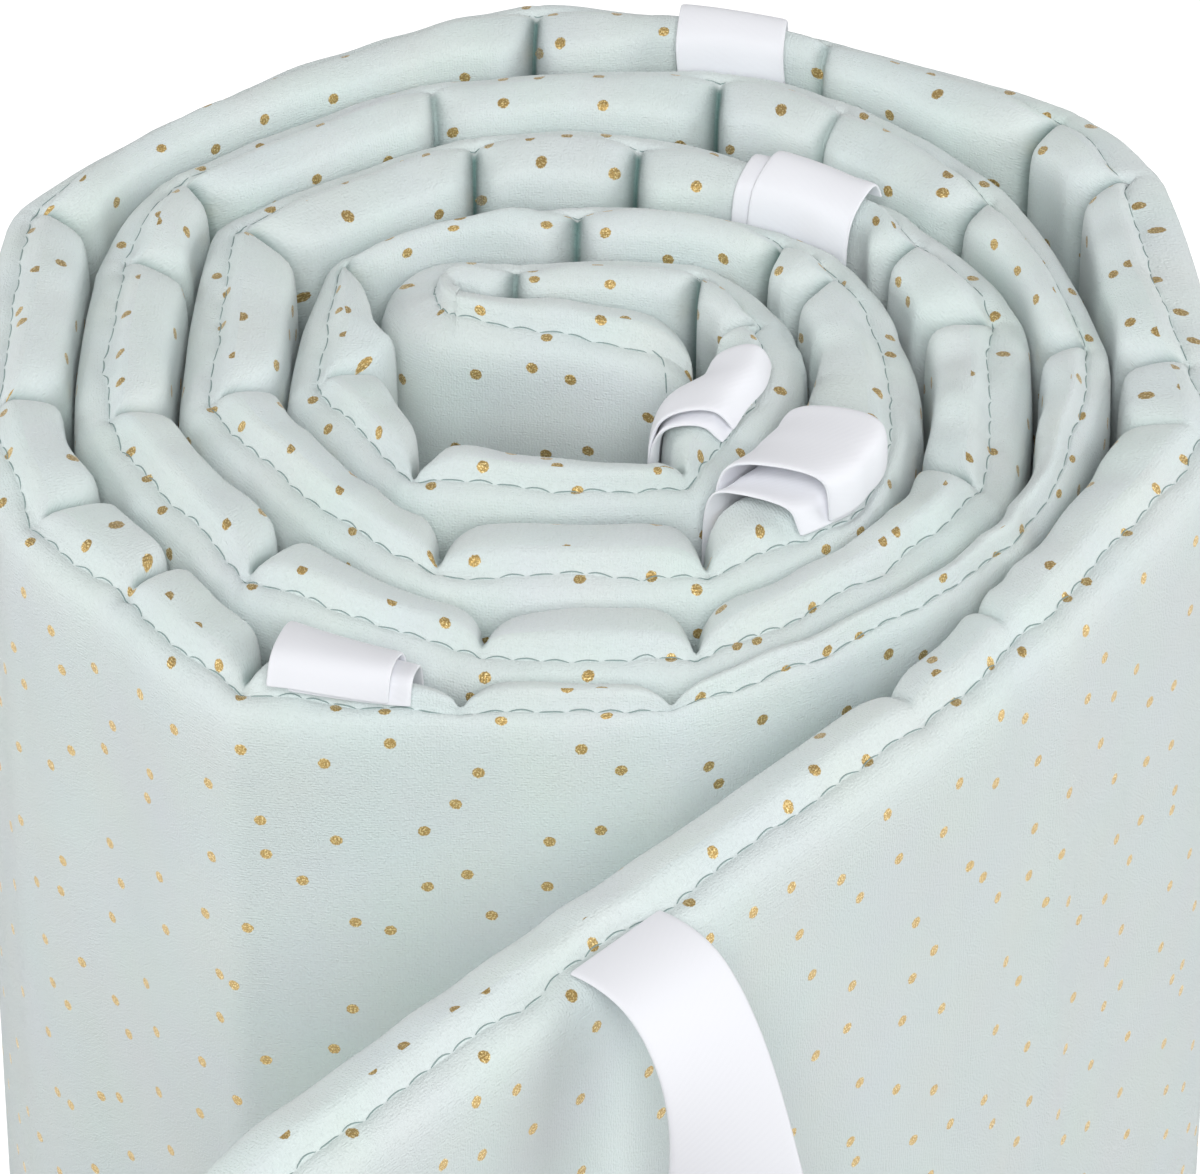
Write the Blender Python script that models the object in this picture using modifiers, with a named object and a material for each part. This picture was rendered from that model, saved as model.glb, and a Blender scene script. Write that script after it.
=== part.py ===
"""Padded crib bumper, rolled up and stood on its long edge, with its tape ties.

One long padded cotton strip is wound clockwise, seen from above, round its own flat first panel. Its
last stretch leaves the roll as a free flap. White tape ties are caught in the seam along its top edge.
Metres, +Z up, -Y to the front. The origin is on the surface, under the middle of the whole footprint.
"""

import bmesh
import bpy
import numpy as np

MM = 0.001

# Strip, millimetres
STRIP_HEIGHT = 300.0
STRIP_THICKNESS = 17.0
THINNEST = 5.5
LAYER_GAP = 1.0
SEAM_WIDTH = 3.6
END_TAPER = 9.0
END_CORNER = (24.0, 10.0)
PANEL_BOW = 0.035
MOST_BOW = 1.0
CREASE_HALF_WIDTH = 4.5
SOFT_BEND_HALF_WIDTH = 14.0
CREASE_REACH = 11.0
TOP_DIP = 1.6
PANEL_STEP = 17.0
FINE_STEP = 1.0
FOOT_SPREAD = 0.036

# Middle of the roll, in the part's own frame, and the flat first panel that it is wound round
ROLL_CENTRE = (-1.15, 44.4)
FIRST_PANEL_END = (16.5, 6.2)
FIRST_BEND_PIVOT = (-22.5, 24.5)
FIRST_BEND_RADIUS = 14.5
FIRST_BEND_END = -250.0
FIRST_BEND_STEPS = 7
CORE_LINE = ((-20.0, 12.0), (12.0, 8.0))
SHARED_TURN = 150.0

# Flap, from the last fold
FLAP_HEADING = -133.0
FLAP_LENGTH = 154.0
FLAP_BLEND = 40.0
FLAP_BOW = -0.2

# A row for each fold, from the middle outwards. The bearing is in degrees clockwise from the left, seen
# from above. The radius runs from the roll's middle to the outer face. The pinch is how far the inner
# face is drawn in: 0 is a soft bend with no crease.
FOLD_COLUMNS = ("turn", "bearing", "radius", "pinch")
FOLDS = (
    (1, 71, 40.5, 5),
    (1, 117, 43, 6),
    (1, 151, 40, 3),
    (1, 182, 36.5, 0),
    (1, 242, 38.5, 3),
    (1, 313, 46, 6),
    (1, 355, 52.5, 3),
    (2, 38, 59, 5),
    (2, 87, 55.5, 7),
    (2, 127, 58.5, 7),
    (2, 144, 58, 5),
    (2, 177, 56.5, 0),
    (2, 199, 56, 0),
    (2, 222, 60.5, 3),
    (2, 252, 62.5, 5),
    (2, 294, 64, 5),
    (2, 323, 63, 0),
    (2, 353, 70.5, 4),
    (3, 36, 82.5, 5),
    (3, 74, 80, 7),
    (3, 96, 78, 7),
    (3, 122, 73.5, 0),
    (3, 144, 75, 5),
    (3, 165, 77, 6),
    (3, 205, 76, 5),
    (3, 230, 75.5, 0),
    (3, 258, 82, 5),
    (3, 283, 81.5, 4),
    (3, 315, 83, 5),
    (3, 351, 87.5, 4),
    (4, 23, 94.5, 5),
    (4, 39, 99, 5),
    (4, 72, 98.5, 4),
    (4, 103, 100.5, 7),
    (4, 118, 99, 3),
    (4, 142, 94, 5),
    (4, 173, 88.5, 5),
    (4, 200, 84.5, 0),
    (4, 226, 84, 0),
    (4, 262, 91, 4),
    (4, 283, 93, 4),
    (4, 303, 106, 5),
    (4, 321, 101, 4),
    (4, 336, 105.5, 4),
    (4, 356, 105.5, 5),
    (5, 27, 115.5, 5),
    (5, 60, 113, 0),
    (5, 85, 121, 7),
    (5, 112, 114.5, 3),
    (5, 136, 121.5, 6),
    (5, 147, 120, 5),
    (5, 177, 107, 5),
    (5, 189, 108, 3),
    (5, 215, 101, 0),
    (5, 227, 103, 3),
    (5, 240, 110, 3),
)

# The most that the strip can puff up to inside each stretch of the roll, between one row and the next.
# It is thickest where a bend leaves room for it.
PUFF_COLUMNS = ("turn", "bearing", "most")
PUFF = (
    (1, 71, 17),
    (1, 151, 17),
    (1, 168, 13.5),
    (1, 186, 13.5),
    (1, 200, 16.5),
    (1, 214, 20),
    (1, 230, 20),
    (1, 246, 18),
    (1, 256, 17),
    (2, 38, 19),
    (2, 177, 20),
    (2, 203, 24),
    (2, 222, 23),
    (2, 250, 20),
    (5, 189, 20),
    (5, 240, 17),
)

# Cross-section of the strip's edge and foot. Across is a share of the thickness, from the outer face to
# the inner one. Height is in millimetres, down from the top edge, and up from the surface for the foot.
SECTION_COLUMNS = ("across", "height")
TOP_EDGE = (
    (0.00, -15.0),
    (0.04, -7.5),
    (0.17, -3.7),
    (0.36, -2.8),
    (0.45, -0.8),
    (0.58, 0.0),
    (0.78, -1.3),
    (0.93, -5.5),
    (1.00, -14.0),
)
FOOT = (
    (1.00, 11.0),
    (0.92, 3.2),
    (0.74, 0.0),
    (0.34, 0.0),
    (0.10, 2.8),
    (0.00, 11.0),
)
SEAM_POINT = 3

# Ties: tape caught in the top seam. A row for each strand that shows: the turn and bearing where it
# leaves the seam, how far it is shifted along the strip, which layer it is over the edge and of how many,
# how high it lifts off the edge, how many degrees it swings from straight across, and the most that its
# first and its last side reach before they hang.
TAPE_WIDTH = 20.0
TAPE_THICKNESS = 1.0
TAPE_CLEARANCE = 0.7
TAIL_DEPTH = 42.0
TIE_COLUMNS = ("name", "turn", "bearing", "along", "layer", "layers", "lift", "swing", "first", "last")
TIES = (
    ("tie_1_under", 1, 182, 5.5, 0, 2, 1.4, 22.0, 18.5, 24.5),
    ("tie_1_over", 1, 182, 5.5, 1, 2, 2.6, 22.0, 18.5, 24.5),
    ("tie_2_under", 2, 210, 7.0, 0, 2, 2.0, 24.0, 60.0, 60.0),
    ("tie_2_over", 2, 210, 7.0, 1, 2, 5.8, 24.0, 60.0, 60.0),
    ("tie_3_under", 3, 121, 0.0, 0, 2, 1.0, 0.0, 60.0, 60.0),
    ("tie_3_over", 3, 128, -4.2, 1, 2, 2.2, 0.0, 60.0, 60.0),
    ("tie_4_under", 4, 295, -3.5, 0, 2, 1.3, 0.0, 60.0, 60.0),
    ("tie_4_over", 4, 295, 0.0, 1, 2, 2.0, 0.0, 60.0, 60.0),
    ("tie_5", 5, 103, 0.0, 0, 1, 2.4, 0.0, 60.0, 60.0),
)

# The tie that springs off the flap, and the middle line of its strand. Out is away from the outer face,
# up is from the top edge.
SPRUNG_TIE = ("tie_6", 5, 240, 70.0)
SPRUNG_COLUMNS = ("out", "up")
SPRUNG_LINE = (
    (-5.1, -2.0),
    (-3.2, -1.7),
    (0.3, -1.5),
    (5.0, -2.4),
    (9.5, -5.6),
    (13.5, -12.0),
    (16.0, -21.0),
    (16.8, -33.0),
    (16.2, -48.0),
    (14.6, -66.0),
    (12.6, -84.0),
    (10.8, -102.0),
    (9.6, -120.0),
)

COTTON_COLOUR = (0.64, 0.74, 0.71, 1.0)
TAPE_COLOUR = (0.88, 0.88, 0.91, 1.0)


def unit(vectors):
    return vectors / np.linalg.norm(vectors, axis=-1, keepdims=True)


def cross(a, b):
    return a[..., 0] * b[..., 1] - a[..., 1] * b[..., 0]


def smooth(x):
    x = np.clip(x, 0.0, 1.0)
    return x * x * (3.0 - 2.0 * x)


def corners():
    """The corners of the outer face's line, with the half width and the pinch of each."""
    end = np.array(FIRST_PANEL_END)
    pivot = np.array(FIRST_BEND_PIVOT)
    away = end - pivot
    start = np.arctan2(away[1], away[0]) - np.arccos(FIRST_BEND_RADIUS / np.linalg.norm(away))
    angles = np.linspace(start, np.radians(FIRST_BEND_END), FIRST_BEND_STEPS)
    bend = pivot + FIRST_BEND_RADIUS * np.stack([np.cos(angles), np.sin(angles)], axis=1)
    bearing = np.radians([row[1] for row in FOLDS])
    radius = np.array([row[2] for row in FOLDS], float)
    folds = np.stack([-radius * np.cos(bearing), radius * np.sin(bearing)], axis=1)
    heading = np.radians(FLAP_HEADING)
    flap = folds[-1] + FLAP_LENGTH * np.array([np.cos(heading), np.sin(heading)])
    points = np.vstack([end, bend, folds, flap])
    pinch = np.array([0.0] * (1 + len(bend)) + [float(row[3]) for row in FOLDS] + [0.0])
    half = np.where(pinch > 0.0, CREASE_HALF_WIDTH, SOFT_BEND_HALF_WIDTH)
    half[: 1 + len(bend)] = 1.5
    return points, half, pinch


def strip_line():
    """The outer face's line in fine steps, the distance along it, and the place of each corner on it.

    Each panel bows outwards as a parabola, the flap inwards. Each corner between two panels is a
    quadratic curve.
    """
    points, half, _ = corners()
    pieces = []
    places = [0]
    count = 0
    before = None
    for i in range(1, len(points)):
        run = points[i] - points[i - 1]
        length = np.linalg.norm(run)
        run = run / length
        outward = np.array([-run[1], run[0]])
        first = points[i - 1] + run * min(half[i - 1], 0.4 * length) * (i > 1)
        last = points[i] - run * min(half[i], 0.4 * length) * (i < len(points) - 1)
        if before is not None:
            t = np.linspace(0.0, 1.0, 10)[1:-1, None]
            control = points[i - 1]
            pieces.append((1 - t) ** 2 * before + 2 * t * (1 - t) * control + t * t * first)
            places.append(count + 4)
            count += 8
        steps = max(2, int(np.linalg.norm(last - first) / FINE_STEP))
        t = np.linspace(0.0, 1.0, steps)[:, None]
        most = min(PANEL_BOW * length, MOST_BOW) if i < len(points) - 1 else FLAP_BOW
        pieces.append(first + t * (last - first) + 4.0 * t * (1.0 - t) * most * outward)
        count += steps
        before = last
    line = np.vstack(pieces)
    along = np.concatenate([[0.0], np.cumsum(np.linalg.norm(np.diff(line, axis=0), axis=1))])
    return line, along, along[places + [len(line) - 1]]


def ribs(line, along, places):
    """The way across the strip at each point of its line, from its outer face to its inner one.

    It is square to the first panel, turns about the first bend's pivot, then points at the nearest spot
    of the core line, and on the flap it is square to that.
    """
    a, b = np.array(CORE_LINE)
    share = np.clip(((line - a) @ (b - a)) / ((b - a) @ (b - a)), 0.0, 1.0)
    inward = unit(a + share[:, None] * (b - a) - line)
    run = unit(line[5] - line[0])
    square = np.array([run[1], -run[0]])
    panel = places[1]
    bend = places[FIRST_BEND_STEPS]
    turned = unit(np.array(FIRST_BEND_PIVOT) - line)
    share = smooth((along - bend) / 10.0)[:, None]
    inward = unit((1.0 - share) * turned + share * inward)
    inward = np.where((along <= panel)[:, None], square, inward)
    heading = np.radians(FLAP_HEADING)
    across_flap = np.array([np.sin(heading), -np.cos(heading)])
    share = smooth((along - places[-2] + 0.5 * FLAP_BLEND) / FLAP_BLEND)[:, None]
    return unit((1.0 - share) * inward + share * across_flap)


def room_inside(points, stations, inward, line, along):
    """How far it is from each point, along its way inward, to the outer face of the turn inside it."""
    start = line[:-1]
    edge = np.diff(line, axis=0)
    middle = 0.5 * (along[:-1] + along[1:])
    gap = start[None] - points[:, None]
    turn = cross(inward[:, None], edge[None])
    turn = np.where(np.abs(turn) < 1e-9, 1e-9, turn)
    reach = cross(gap, edge[None]) / turn
    share = cross(gap, inward[:, None]) / turn
    apart = np.where(
        stations[:, None] < SHARED_TURN,
        np.abs(stations[:, None] - middle[None]) > 25.0,
        stations[:, None] - middle[None] > 60.0,
    )
    hit = (share >= 0.0) & (share <= 1.0) & (reach > 1.0) & apart
    return np.where(hit, reach, 1e3).min(axis=1)


def halved(room, along, places):
    """The room that the strip may fill.

    Where the first panel and the turn behind it lie with their inner faces together, each has half. In
    the first bend it may not reach past the pivot.
    """
    room = np.where(along < SHARED_TURN, 0.5 * room + 0.5 * LAYER_GAP, room)
    bending = (along > places[1] - 4.0) & (along < places[FIRST_BEND_STEPS] + 4.0)
    return np.where(bending, np.minimum(room, FIRST_BEND_RADIUS - 1.0), room)


class Strip:
    """The wound strip: its outer line, its ribs and its thickness, at any distance along it."""

    def __init__(self):
        self.line, self.along, self.places = strip_line()
        self.pinches = corners()[2]
        self.length = self.along[-1]
        self.inward = ribs(self.line, self.along, self.places)
        room = room_inside(self.line, self.along, self.inward, self.line, self.along)
        room = halved(room, self.along, self.places)
        near = np.abs(self.along[:, None] - self.along[None]) < 7.0
        least = np.where(near, room[None], 1e3).min(axis=1)
        least = (near * least[None]).sum(axis=1) / near.sum(axis=1)
        puff = [self.place_of(turn, bearing) for turn, bearing, most in PUFF]
        most = np.interp(self.along, puff, [row[2] for row in PUFF])
        self.thickness = np.clip(least - LAYER_GAP - self.tape_room(), THINNEST, most)

    def place_of(self, turn, bearing):
        """Distance along the strip at a bearing of a turn."""
        around = np.unwrap(np.arctan2(self.line[:, 1], -self.line[:, 0]))
        start = np.argmax(self.along > self.places[FIRST_BEND_STEPS])
        turns = around - around[start] + np.arctan2(self.line[start, 1], -self.line[start, 0])
        wanted = np.radians(360.0 * (turn - 1) + bearing)
        return self.along[np.argmax((turns > wanted) & (self.along > self.along[start]))]

    def tape_room(self):
        """Room left inside the strip for the tape that hangs there."""
        room = np.zeros(len(self.along))
        for row in TIES:
            off = np.abs(self.along - self.place_of(row[1], row[2]) - row[3])
            near = smooth(2.2 - off / (0.5 * TAPE_WIDTH))
            needed = row[5] * TAPE_THICKNESS + (row[5] + 1) * TAPE_CLEARANCE
            room = np.maximum(room, near * (needed + 0.8 - LAYER_GAP))
        return room

    def pinch(self, station, spread=1.0):
        """How far the inner face is drawn in: a sharp crease with a rounded lip on each side."""
        off = np.abs(station - self.places) / (spread * CREASE_REACH)
        return float((self.pinches * np.clip(1.0 - off, 0.0, 1.0) ** 2).max())

    def at(self, station):
        """Outer face point, rib and thickness at a distance along the strip."""
        point = np.array([np.interp(station, self.along, self.line[:, i]) for i in (0, 1)])
        rib = np.array([np.interp(station, self.along, self.inward[:, i]) for i in (0, 1)])
        return point, unit(rib), float(np.interp(station, self.along, self.thickness))

    def slant(self, station, way):
        """How much longer a way across the strip is than its rib there."""
        before, rib, _ = self.at(station - 2.0)
        after = self.at(station + 2.0)[0]
        return cross(after - before, rib) / cross(after - before, way)

    def stations(self):
        """Where the sections stand: close together at the ends, folds and bends, wide apart between."""
        wanted = [0.0, 1.2, 3.6, 7.0, 12.0, 18.0, 24.0]
        wanted += [self.length - value for value in wanted]
        for i, place in enumerate(self.places[1:-1], start=1):
            if i <= FIRST_BEND_STEPS:
                wanted += [place]
            elif self.pinches[i] > 0.0:
                wanted += [place - 9.0, place - 3.3, place, place + 3.3, place + 9.0]
            else:
                wanted += [place - 10.0, place, place + 10.0]
        kept = []
        for value in sorted(wanted):
            if not kept or value - kept[-1] > 1.1:
                kept.append(value)
        filled = []
        for before, after in zip(kept, kept[1:]):
            pieces = max(1, int(np.ceil((after - before) / PANEL_STEP)))
            filled += [before + (after - before) * k / pieces for k in range(pieces)]
        return filled + [kept[-1]]


def placed(x, y, z):
    """A point in millimetres from the roll's middle, as metres in the part's frame.

    The roll is a little wider at its foot than at its top.
    """
    spread = 1.0 + FOOT_SPREAD * (1.0 - min(z, STRIP_HEIGHT) / STRIP_HEIGHT)
    return (MM * (x * spread + ROLL_CENTRE[0]), MM * (y * spread + ROLL_CENTRE[1]), MM * z)


def material(name, colour, roughness):
    made = bpy.data.materials.new(name)
    made.use_nodes = True
    shader = made.node_tree.nodes["Principled BSDF"]
    shader.inputs["Base Color"].default_value = colour
    shader.inputs["Roughness"].default_value = roughness
    shader.inputs["Metallic"].default_value = 0.0
    return made


def add_object(name, mesh, collection, finish):
    made = bpy.data.objects.new(name, mesh)
    made.data.materials.append(finish)
    collection.objects.link(made)
    mesh.shade_smooth()
    return made


def quarter(distance, reach):
    """A quarter ellipse: 0 at the end of the strip, 1 from reach on."""
    return np.sqrt(max(0.0, 1.0 - (1.0 - min(distance / reach, 1.0)) ** 2))


def puffed(across, thickness):
    """Depth below the outer face. Past its usual thickness only the inner part of the strip puffs up."""
    usual = min(thickness, STRIP_THICKNESS)
    return across * usual + (thickness - usual) * smooth((across - 0.5) / 0.5)


def section(strip, station):
    """The closed outline of the strip at one station, outer face first, over the edge and down."""
    point, rib, whole = strip.at(station)
    end = min(station, strip.length - station)
    full = quarter(end, END_TAPER)
    thickness = SEAM_WIDTH + (whole - SEAM_WIDTH) * full
    offset = 0.26 * (whole - SEAM_WIDTH) * (1.0 - full)
    drop = END_CORNER[1] * (1.0 - quarter(end, END_CORNER[0]))
    pinch = min(strip.pinch(station), 0.4 * thickness)
    dip = TOP_DIP * strip.pinch(station, 1.6) / 5.0
    outline = []
    for across, height in TOP_EDGE:
        drawn = pinch * smooth((across - 0.3) / 0.7)
        high = STRIP_HEIGHT + height - drop - dip - 0.35 * drawn
        outline.append((offset + puffed(across, thickness) - drawn, high))
    for across, height in FOOT:
        drawn = pinch * smooth((across - 0.3) / 0.7)
        outline.append((offset + puffed(across, thickness) - drawn, height + drop * (height > 0.0)))
    return [placed(*(point + rib * deep), high) for deep, high in outline]


def build_bumper(strip, collection, finish):
    rows = [section(strip, station) for station in strip.stations()]
    around = len(rows[0])
    mesh = bpy.data.meshes.new("bumper")
    work = bmesh.new()
    rings = [[work.verts.new(point) for point in row] for row in rows]
    for before, after in zip(rings, rings[1:]):
        for k in range(around):
            following = (k + 1) % around
            work.faces.new((before[k], before[following], after[following], after[k]))
    work.faces.new(rings[0][::-1])
    work.faces.new(rings[-1])
    bmesh.ops.recalc_face_normals(work, faces=work.faces)
    work.to_mesh(mesh)
    work.free()
    made = add_object("bumper", mesh, collection, finish)
    mesh.set_sharp_from_angle(angle=np.radians(50.0))
    return made


def over_edge(thickness, clear):
    """The strip's edge from its seam to its inner face, moved out by a clearance."""
    edge = [(puffed(across, thickness), height) for across, height in TOP_EDGE[SEAM_POINT - 1 :]]
    edge = np.array(edge)
    way = unit(np.diff(edge, axis=0))
    square = np.stack([-way[:, 1], way[:, 0]], axis=1)
    sides = square[:-1] + square[1:]
    mitre = sides / (1.0 + (square[:-1] * square[1:]).sum(axis=1, keepdims=True))
    middle = edge[1:-1] + clear * mitre
    return np.vstack([middle, (thickness + clear, -14.0)])


def strand_line(thickness, hang, layer, lift, slant):
    """Middle line of a strand that arches over the edge and hangs inside: distances in and up.

    The slant is how much longer its way across the edge is than the strip's rib.
    """
    clear = 0.5 * TAPE_THICKNESS + TAPE_CLEARANCE + layer * (TAPE_THICKNESS + TAPE_CLEARANCE)
    line = over_edge(thickness, clear)
    line[:, 0] *= slant
    share = np.linspace(0.0, 1.0, len(line))
    line[:, 0] += (hang - line[-1, 0]) * smooth((share - 0.3) / 0.7)
    line[:, 1] += lift * np.sin(np.pi * share**0.8) + 0.4
    return np.vstack([line, (hang, -24.0), (hang, -TAIL_DEPTH + 6.0 * layer)])


def add_strand(name, strip, place, swing, line_of, collection, finish):
    """A strand of tape: an open sheet of straight columns side by side, made solid."""
    rib = strip.at(place)[1]
    turned = np.radians(swing)
    way = np.cos(turned) * rib + np.sin(turned) * np.array([-rib[1], rib[0]])
    columns = []
    for share in np.linspace(0.0, 1.0, 4):
        station = place + (share - 0.5) * TAPE_WIDTH
        point, _, thickness = strip.at(station)
        line = line_of(share, point, way, station, thickness)
        columns.append([placed(*(point + way * deep), STRIP_HEIGHT + up) for deep, up in line])
    mesh = bpy.data.meshes.new(name)
    work = bmesh.new()
    grid = [[work.verts.new(point) for point in column] for column in columns]
    for left, right in zip(grid, grid[1:]):
        for k in range(len(left) - 1):
            work.faces.new((left[k], left[k + 1], right[k + 1], right[k]))
    work.to_mesh(mesh)
    work.free()
    made = add_object(name, mesh, collection, finish)
    solid = made.modifiers.new("thickness", "SOLIDIFY")
    solid.thickness = MM * TAPE_THICKNESS
    solid.offset = 0.0
    solid.use_even_offset = True
    return made


def build_ties(strip, collection, finish):
    step = TAPE_THICKNESS + TAPE_CLEARANCE
    for name, turn, bearing, shift, layer, layers, lift, swing, first, last in TIES:

        def line_of(share, point, way, station, thickness):
            room = room_inside(
                point[None], np.array([station]), way[None], strip.line, strip.along
            )[0]
            most = first + share * (last - first)
            hang = min(room, most) - TAPE_CLEARANCE - 0.5 * TAPE_THICKNESS
            hang -= (layers - 1 - layer) * step
            return strand_line(thickness, hang, layer, lift, strip.slant(station, way))

        place = strip.place_of(turn, bearing) + shift
        add_strand(name, strip, place, swing, line_of, collection, finish)
    name, turn, bearing, shift = SPRUNG_TIE
    sprung = np.array(SPRUNG_LINE) * (-1.0, 1.0)
    place = strip.place_of(turn, bearing) + shift
    add_strand(name, strip, place, 0.0, lambda *given: sprung, collection, finish)


def main():
    for old in list(bpy.data.objects):
        bpy.data.objects.remove(old)
    collection = bpy.data.collections.new("crib_bumper")
    bpy.context.scene.collection.children.link(collection)
    cotton = material("cotton", COTTON_COLOUR, 0.8)
    tape = material("tape", TAPE_COLOUR, 0.75)
    strip = Strip()
    build_bumper(strip, collection, cotton)
    build_ties(strip, collection, tape)


main()
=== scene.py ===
"""Padded crib bumper, rolled up and stood on its long edge, with its tape ties, dressed for a render.

One long padded cotton strip is wound clockwise, seen from above, round its own flat first panel, and its
last stretch leaves the roll as a free flap. White tape ties are caught in the seam along its top edge.
The sizes below are those of the solids. Metres, +Z up, -Y to the front.
"""

import bpy
import numpy as np
from bpy.props import FloatProperty, FloatVectorProperty, PointerProperty
from bpy.types import Operator, Panel, PropertyGroup
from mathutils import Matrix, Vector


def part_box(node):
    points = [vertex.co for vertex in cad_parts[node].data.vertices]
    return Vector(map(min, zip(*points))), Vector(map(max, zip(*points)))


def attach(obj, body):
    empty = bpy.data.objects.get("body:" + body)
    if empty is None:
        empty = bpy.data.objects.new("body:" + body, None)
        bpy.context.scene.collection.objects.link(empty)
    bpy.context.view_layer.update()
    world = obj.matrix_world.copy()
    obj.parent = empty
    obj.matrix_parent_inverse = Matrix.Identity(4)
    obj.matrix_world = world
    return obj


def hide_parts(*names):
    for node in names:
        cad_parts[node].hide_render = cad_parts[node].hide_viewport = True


bl_info = {
    "name": "Crib bumper",
    "version": (1, 0, 0),
    "blender": (4, 5, 0),
    "location": "View3D > Sidebar > Crib bumper",
    "description": "A rolled crib bumper of padded cotton with tape ties",
    "category": "Object",
}

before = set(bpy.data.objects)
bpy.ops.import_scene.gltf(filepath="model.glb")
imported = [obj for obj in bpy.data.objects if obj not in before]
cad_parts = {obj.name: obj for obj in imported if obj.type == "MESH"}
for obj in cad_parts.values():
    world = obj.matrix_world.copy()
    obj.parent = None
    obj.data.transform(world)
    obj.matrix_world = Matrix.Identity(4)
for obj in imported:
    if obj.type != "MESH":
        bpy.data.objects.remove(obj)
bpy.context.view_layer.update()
HEIGHT = round(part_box("bumper")[1][2], 3)

MM = 0.001

# Strip, millimetres. The cleft is the open bottom of a fold, and the creases are the short curves between
# two panels.
STRIP_THICKNESS = 17.0
THINNEST = 5.5
LAYER_GAP = 0.5
SEAM_WIDTH = 3.6
END_TAPER = 9.0
END_CORNER = (24.0, 10.0)
END_ROUND = 1.6
PANEL_BOW = 0.035
MOST_BOW = 1.0
CREASE_HALF_WIDTH = 4.5
SOFT_BEND_HALF_WIDTH = 14.0
CREASE_REACH = 6.5
CLEFT_HALF_WIDTH = 0.45
FINE_STEP = 1.0
FOOT_SPREAD = 0.036

# Middle of the roll, in the part's own frame, and the flat first panel that it is wound round
ROLL_CENTRE = (-1.15, 44.4)
FIRST_PANEL_END = (16.5, 6.2)
FIRST_BEND_PIVOT = (-22.5, 24.5)
FIRST_BEND_RADIUS = 14.5
FIRST_BEND_END = -250.0
FIRST_BEND_STEPS = 7
CORE_LINE = ((-20.0, 12.0), (12.0, 8.0))

# Up to this far along, the strip shares the room between its inner faces with the turn behind it.
SHARED_TURN = 150.0

# Beside the first panel's free end the strip faces a spot in the hollow, between two distances along it.
HOLLOW_SPOT = (6.0, -6.0)
HOLLOW_STRETCH = (164.0, 228.0)

# Flap, from the last fold. Over the blend the strip turns from facing the middle to facing square in.
FLAP_HEADING = -133.0
FLAP_LENGTH = 154.0
FLAP_BLEND = 40.0
FLAP_BOW = -0.2

# A row for each fold, from the middle outwards. The bearing is in degrees clockwise from the left, seen
# from above. The radius runs from the roll's middle to the outer face. The pinch is how far the inner
# face is drawn in: 0 is a soft bend with no crease.
FOLD_COLUMNS = ("turn", "bearing", "radius", "pinch")
FOLDS = (
    (1, 71, 40.5, 5),
    (1, 117, 43, 6),
    (1, 151, 40, 3),
    (1, 182, 36.5, 0),
    (1, 242, 38.5, 3),
    (1, 313, 46, 6),
    (1, 355, 52.5, 3),
    (2, 38, 59, 5),
    (2, 87, 55.5, 7),
    (2, 127, 58.5, 7),
    (2, 144, 58, 5),
    (2, 177, 56.5, 0),
    (2, 199, 56, 0),
    (2, 222, 60.5, 3),
    (2, 252, 62.5, 5),
    (2, 294, 64, 5),
    (2, 323, 63, 0),
    (2, 353, 70.5, 4),
    (3, 36, 82.5, 5),
    (3, 74, 80, 7),
    (3, 96, 78, 7),
    (3, 122, 73.5, 0),
    (3, 144, 75, 5),
    (3, 165, 77, 6),
    (3, 205, 76, 5),
    (3, 230, 75.5, 0),
    (3, 258, 82, 5),
    (3, 283, 81.5, 4),
    (3, 315, 83, 5),
    (3, 351, 87.5, 4),
    (4, 23, 94.5, 5),
    (4, 39, 99, 5),
    (4, 72, 98.5, 4),
    (4, 103, 100.5, 7),
    (4, 118, 99, 3),
    (4, 142, 94, 5),
    (4, 173, 88.5, 5),
    (4, 200, 84.5, 0),
    (4, 226, 84, 0),
    (4, 262, 91, 4),
    (4, 283, 93, 4),
    (4, 303, 106, 5),
    (4, 321, 101, 4),
    (4, 336, 105.5, 4),
    (4, 356, 105.5, 5),
    (5, 27, 115.5, 5),
    (5, 60, 113, 0),
    (5, 85, 121, 7),
    (5, 112, 114.5, 3),
    (5, 136, 121.5, 6),
    (5, 147, 120, 5),
    (5, 177, 107, 5),
    (5, 189, 108, 1.5),
    (5, 215, 101, 0),
    (5, 227, 103, 1.5),
    (5, 240, 110, 1.5),
)

# The most that the strip can puff up to inside each stretch of the roll, between one row and the next.
PUFF_COLUMNS = ("turn", "bearing", "most")
PUFF = (
    (1, 71, 17),
    (1, 151, 17),
    (1, 168, 13.5),
    (1, 186, 15),
    (1, 198, 17),
    (1, 212, 19),
    (1, 228, 19),
    (1, 242, 14),
    (1, 256, 10.5),
    (1, 272, 11.5),
    (1, 290, 13.5),
    (1, 305, 15.5),
    (1, 320, 17),
    (2, 38, 19),
    (2, 177, 20),
    (2, 203, 24),
    (2, 222, 23),
    (2, 250, 20),
    (5, 189, 20),
    (5, 240, 17),
)

# Cross-section of the strip, outer face first. Across is a share of the thickness, from the outer face to
# the inner one. Height is in millimetres down from the top edge, and for the foot up from the surface.
SECTION_COLUMNS = ("across", "height")
TOP_EDGE = (
    (0.00, -15.0),
    (0.04, -7.5),
    (0.17, -3.7),
    (0.36, -2.8),
    (0.45, -1.35),
    (0.58, 0.0),
    (0.83, -0.9),
    (0.97, -4.2),
    (1.00, -14.0),
)
FOOT = (
    (1.00, 11.0),
    (0.92, 3.2),
    (0.74, 0.0),
    (0.34, 0.0),
    (0.10, 2.8),
    (0.00, 11.0),
)
SEAM_POINT = 3

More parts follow.
